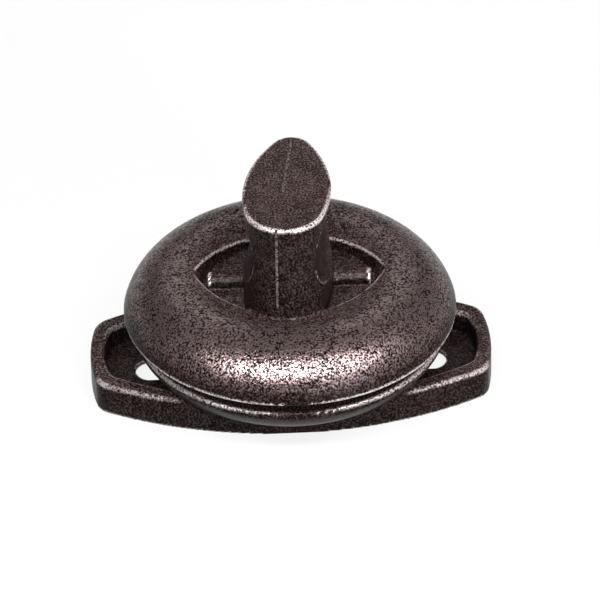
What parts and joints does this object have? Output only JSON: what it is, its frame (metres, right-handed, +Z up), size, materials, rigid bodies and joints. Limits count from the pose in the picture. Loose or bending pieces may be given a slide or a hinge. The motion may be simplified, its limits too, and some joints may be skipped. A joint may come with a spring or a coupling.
{
  "type": "cupboard turn button",
  "caption": "Cast turn button: a domed knob with an upright lens-shaped grip turns on a spindle in a boat-shaped base plate with screw ears.",
  "frame": {"origin": "middle of the base plate's underside, on the knob's turning axis", "axes": "+Z up out of the surface the plate is screwed to, along the turning axis; X along the plate's ears; the grip lies nearly along Y at rest"},
  "size_m": [0.0564, 0.0466, 0.0324],
  "materials": {
    "dark_casting": "fine-grained dark brown-black satin",
    "washer_steel": "plain turned steel"
  },
  "bodies": {
    "base": {"base_plate": "dark_casting", "bearing_washer": "washer_steel", "spring_washer": "washer_steel"},
    "knob": {"turn_knob": "dark_casting", "retaining_washer": "washer_steel", "pivot_screw": "washer_steel"}
  },
  "joints": [
    {"name": "knob_turn", "type": "hinge", "parent": "base", "child": "knob", "pos_m": [0, 0, 0], "axis": [0, 0, 1], "continuous": true}
  ]
}
